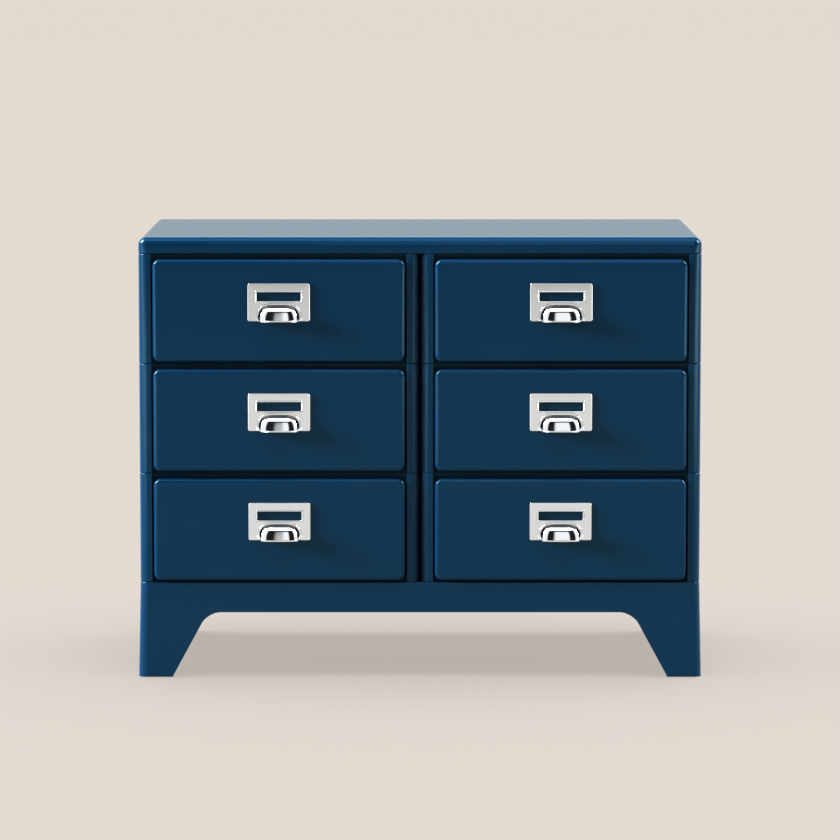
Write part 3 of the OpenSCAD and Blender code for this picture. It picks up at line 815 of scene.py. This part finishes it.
def cut_arches(piece, low, high):
    bpy.ops.object.mode_set(mode="OBJECT")
    prisms = [arch_prism(low, high, across) for across in (X, Y)]
    bpy.ops.object.select_all(action="DESELECT")
    piece.select_set(True)
    bpy.context.view_layer.objects.active = piece
    for prism in prisms:
        hole = piece.modifiers.new("arch", "BOOLEAN")
        hole.operation = "DIFFERENCE"
        hole.object = prism
        bpy.ops.object.modifier_apply(modifier=hole.name)
        bpy.data.objects.remove(prism)
    bpy.ops.object.mode_set(mode="EDIT")


print("arches with a radius of", ARCH_R / 0.001, "mm")

# %% Skirt and legs
BASE_SHEET = 0.0015
BASE_FLANGE = 0.042
FOOT_FLARE = 0.0029
ARCH_FOLD = 0.009


def model_base(low, high):
    piece = start_block("shaped_base_frame", low, high)
    pick(piece, "FACE", lambda face: lies_at(face, Z, high.z))
    centre = (low + high) / 2
    narrow = [1 - 2 * FOOT_FLARE / (high[axis] - low[axis]) for axis in (X, Y)]
    bpy.ops.transform.resize(value=(*narrow, 1), center_override=(centre.x, centre.y, high.z))
    bevel(piece, lambda edge: abs(middle(edge).z - centre.z) < NEAR, CASING_CORNER_R, 12)
    cut_arches(piece, low, high)
    inset = FOOT_FLARE + ARCH_FOLD
    for axis in (X, Y):
        for line in (low[axis] + inset, high[axis] - inset):
            cut(piece, axis, line, lambda face: middle(face).z < high.z - NEAR)
    remove(piece, lambda face: lies_at(face, Z, low.z) or middle(face).z < high.z - NEAR and all(
        low[axis] + inset < middle(face)[axis] < high[axis] - inset for axis in (X, Y)))
    flare = Vector((FOOT_FLARE, FOOT_FLARE, 0))
    open_flange(piece, low + flare, high - flare, high.z, BASE_FLANGE)
    bevel(piece, lambda edge: lies_at(edge, Z, high.z) and edge.calc_face_angle(0) > 1, CASING_EDGE_R, 3)
    thicken(piece, BASE_SHEET)
    smooth(piece)
    return piece


base = model_base(*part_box("base_frame"))
print("skirt and legs", len(base.data.polygons), "faces")

# %% [markdown]
# ## Base frame: foot plates
# Each glide is held by a small plate inside its foot, welded in. The plates belong to the same
# pressing, so they are joined to it, and stay closed shells of their own.

# %% Foot plates
GLIDE_H = 0.005


def add_foot_plates(piece, low, high):
    """The little plates inside the feet that hold the glides."""
    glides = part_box("foot_glides")
    side = FOOT_W - ARCH_FOLD / 2
    plates = []
    for x in (low.x + FOOT_W / 2, high.x - FOOT_W / 2):
        for y in (low.y + FOOT_W / 2, high.y - FOOT_W / 2):
            corner = Vector((x - side / 2, y - side / 2, glides[0].z + GLIDE_H))
            plate = start_block("foot_plate", corner, corner + Vector((side, side, BASE_SHEET)))
            bevel(plate, lambda edge: runs_along(edge, Z), CASING_CORNER_R, 4)
            bpy.ops.object.mode_set(mode="OBJECT")
            plates.append(plate)
    bpy.ops.object.select_all(action="DESELECT")
    for plate in plates:
        plate.select_set(True)
    piece.select_set(True)
    bpy.context.view_layer.objects.active = piece
    bpy.ops.object.join()


add_foot_plates(base, *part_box("base_frame"))
dress(base, "cabinet", "navy_enamel", "base_frame")
print("base frame", len(base.data.polygons), "faces")

# %% [markdown]
# ## Handles: the plate
# A handle is one zinc casting, chrome plated: a plate with a window for a label, and a cup to
# pull by. The plate starts as a box that is cut along the four sides of the window. Bridging the
# two open rims makes the window's walls, which a boolean would also do, but with loose
# triangles round it that spoil a mirror finish.

# %% Handle plate and bead
PLATE_T = 0.0024
PLATE_CORNER_R = 0.0022
PLATE_EDGE_R = 0.0006
WINDOW_W = 0.0583
WINDOW_H = 0.0117
WINDOW_DROP = 0.0116
WINDOW_R = 0.001
BEAD_W = 0.0022
BEAD_H = 0.0012


def frame_plate(name, low, high, hole_low, hole_high):
    """A plate with a rectangular window through it."""
    piece = start_block(name, low, high)
    for axis in (X, Z):
        cut(piece, axis, hole_low[axis])
        cut(piece, axis, hole_high[axis])

    def in_hole(part):
        place = middle(part)
        return all(hole_low[axis] - NEAR < place[axis] < hole_high[axis] + NEAR for axis in (X, Z))

    remove(piece, lambda face: in_hole(face) and (lies_at(face, Y, low.y) or lies_at(face, Y, high.y)))
    pick(piece, "EDGE", lambda edge: edge.is_boundary)
    bpy.ops.mesh.bridge_edge_loops()
    bevel(piece, lambda edge: runs_along(edge, Y) and in_hole(edge), WINDOW_R, 3)
    return piece


print("handle plate is ready")

# %% [markdown]
# ## Handles: bead, welt and cup
# A raised bead runs round the window, and a low welt round the foot of the cup. Both are small,
# but they draw the bright lines that make the plate read as a casting. The cup is its own
# outline turned a quarter about the plate, which is how such cups are drawn: round in front,
# square at the sides. Spinning the outline keeps its mesh even, so the chrome mirrors cleanly.

# %% The cup's outline
CUP_W = 0.057
CUP_REACH = 0.0175
CUP_TALL = 0.022
CUP_WALL = 0.0016
CUP_SQUARE = 4
CUP_CROWN = 0.45
CUP_STEPS = 40
CUP_TURN_STEPS = 16
RIM_H = 0.0016
RIM_PROUD = 0.0003
WELT_W = 0.0018
WELT_H = 0.0008
BOSS_R = 0.0036
BOSS_PITCH = 0.038
BOSS_RISE = 0.010
BOSS_LENGTH = 0.0076
AHEAD = Vector((0, -1, 0))
UP = Vector((0, 0, 1))


def cup_reach_at(side, half, reach):
    return reach * (1 - min(abs(side) / half, 1) ** CUP_SQUARE) ** CUP_CROWN


def start_outline(name, place, half, reach, way):
    """The cup's outline as a row of edges, drawn from half a circle, in edit mode."""
    bpy.ops.object.select_all(action="DESELECT")
    bpy.ops.mesh.primitive_circle_add(vertices=2 * CUP_STEPS, radius=1)
    piece = bpy.context.object
    piece.name = piece.data.name = name
    bpy.ops.object.mode_set(mode="EDIT")
    pick(piece, "VERT", lambda corner: corner.co.y > NEAR)
    bpy.ops.mesh.delete(type="VERT")
    mesh = bmesh.from_edit_mesh(piece.data)
    for corner in mesh.verts:
        side = half * corner.co.x
        corner.co = place + Vector((side, 0, 0)) + way * cup_reach_at(side, half, reach)
    bmesh.update_edit_mesh(piece.data)
    return piece


print("the cup is", CUP_W / 0.001, "mm wide")

# %% Cup, rim and welt
def model_hood(place):
    """The cup: its outline turned a quarter, and drawn a little taller than it is deep."""
    reach = CUP_REACH - RIM_PROUD
    piece = start_outline("hood", place, CUP_W / 2 - RIM_PROUD, reach, AHEAD)
    bpy.ops.mesh.select_all(action="SELECT")
    bpy.ops.mesh.spin(steps=CUP_TURN_STEPS, angle=math.pi / 2, center=place, axis=(1, 0, 0))
    bpy.ops.mesh.select_all(action="SELECT")
    bpy.ops.transform.resize(value=(1, 1, CUP_TALL / reach), center_override=place)
    bpy.ops.mesh.remove_doubles(threshold=NEAR)
    bpy.ops.mesh.normals_make_consistent(inside=False)
    thicken(piece, CUP_WALL)
    return piece


def model_rim(place):
    """The bead along the free edge of the cup."""
    piece = start_outline("rim", place, CUP_W / 2, CUP_REACH, AHEAD)
    extrude(piece, "EDGE", lambda edge: True, UP * RIM_H)
    bpy.ops.mesh.select_all(action="SELECT")
    bpy.ops.mesh.normals_make_consistent(inside=False)
    thicken(piece, CUP_WALL)
    return piece


def model_welt(place):
    """The raised line round the foot of the cup, as a low plate behind it."""
    piece = start_outline("welt", place, CUP_W / 2 + WELT_W, CUP_TALL + WELT_W, UP)
    bpy.ops.mesh.select_all(action="SELECT")
    bpy.ops.mesh.edge_face_add()
    bpy.ops.mesh.extrude_region_move(TRANSFORM_OT_translate={"value": AHEAD * (PLATE_T / 2 + WELT_H)})
    bpy.ops.mesh.select_all(action="SELECT")
    bpy.ops.mesh.normals_make_consistent(inside=False)
    front = place.y - PLATE_T / 2 - WELT_H
    bevel(piece, lambda edge: lies_at(edge, Y, front), WELT_H * 0.9, 3)
    bpy.ops.object.mode_set(mode="OBJECT")
    return piece


def model_boss(place):
    bpy.ops.object.select_all(action="DESELECT")
    centre = place + AHEAD * (BOSS_LENGTH / 2)
    bpy.ops.mesh.primitive_cylinder_add(vertices=32, radius=BOSS_R, depth=BOSS_LENGTH,
                                        location=centre, rotation=(math.pi / 2, 0, 0))
    bpy.ops.object.transform_apply(location=True, rotation=True, scale=True)
    return bpy.context.object


print("cup, rim and welt are ready")

# %% Put the handle together
def model_bead(plate_front, hole_low, hole_high):
    """The raised bead round the label window."""
    border = Vector((BEAD_W, 0, BEAD_W))
    low, high = hole_low - border, hole_high + border
    low.y = plate_front - BEAD_H
    high.y = plate_front + BEAD_H
    piece = frame_plate("bead", low, high, hole_low, hole_high)
    outer = (high.x - low.x) / 2 - NEAR
    centre = (low.x + high.x) / 2
    bevel(piece, lambda edge: runs_along(edge, Y) and abs(middle(edge).x - centre) > outer, BEAD_W * 0.7, 4)
    bevel(piece, lambda edge: lies_at(edge, Y, low.y) and edge.calc_face_angle(0) > 1, BEAD_H * 0.95, 4)
    bpy.ops.object.mode_set(mode="OBJECT")
    return piece


def model_handle(low, high):
    centre = (low.x + high.x) / 2
    hole_high = Vector((centre + WINDOW_W / 2, 0, high.z - WINDOW_DROP))
    hole_low = hole_high - Vector((WINDOW_W, 0, WINDOW_H))
    plate_front = high.y - PLATE_T
    plate = frame_plate("handle_plate", Vector((low.x, plate_front, low.z)), high, hole_low, hole_high)
    bevel(plate, lambda edge: runs_along(edge, Y) and abs(middle(edge).x - centre) > WINDOW_W / 2 + BEAD_W,
          PLATE_CORNER_R, 5)
    bevel(plate, lambda edge: lies_at(edge, Y, plate_front) and edge.calc_face_angle(0) > 1
          and not (hole_low.z - NEAR < middle(edge).z < hole_high.z + NEAR
                   and abs(middle(edge).x - centre) < WINDOW_W / 2 + NEAR), PLATE_EDGE_R, 4)
    bpy.ops.object.mode_set(mode="OBJECT")
    foot = Vector((centre, high.y, low.z))
    pieces = [model_bead(plate_front, hole_low, hole_high), model_hood(foot), model_rim(foot),
              model_welt(foot + AHEAD * (PLATE_T / 2))]
    for side in (-1, 1):
        pieces.append(model_boss(foot + Vector((side * BOSS_PITCH / 2, 0, BOSS_RISE))))
    bpy.ops.object.select_all(action="DESELECT")
    for piece in (*pieces, plate):
        piece.select_set(True)
    bpy.context.view_layer.objects.active = plate
    bpy.ops.object.join()
    smooth(plate)
    return plate


handle = model_handle(*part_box("bottom_left_handle"))
place_copies(handle, "handle", "handle_chrome", "{drawer}")
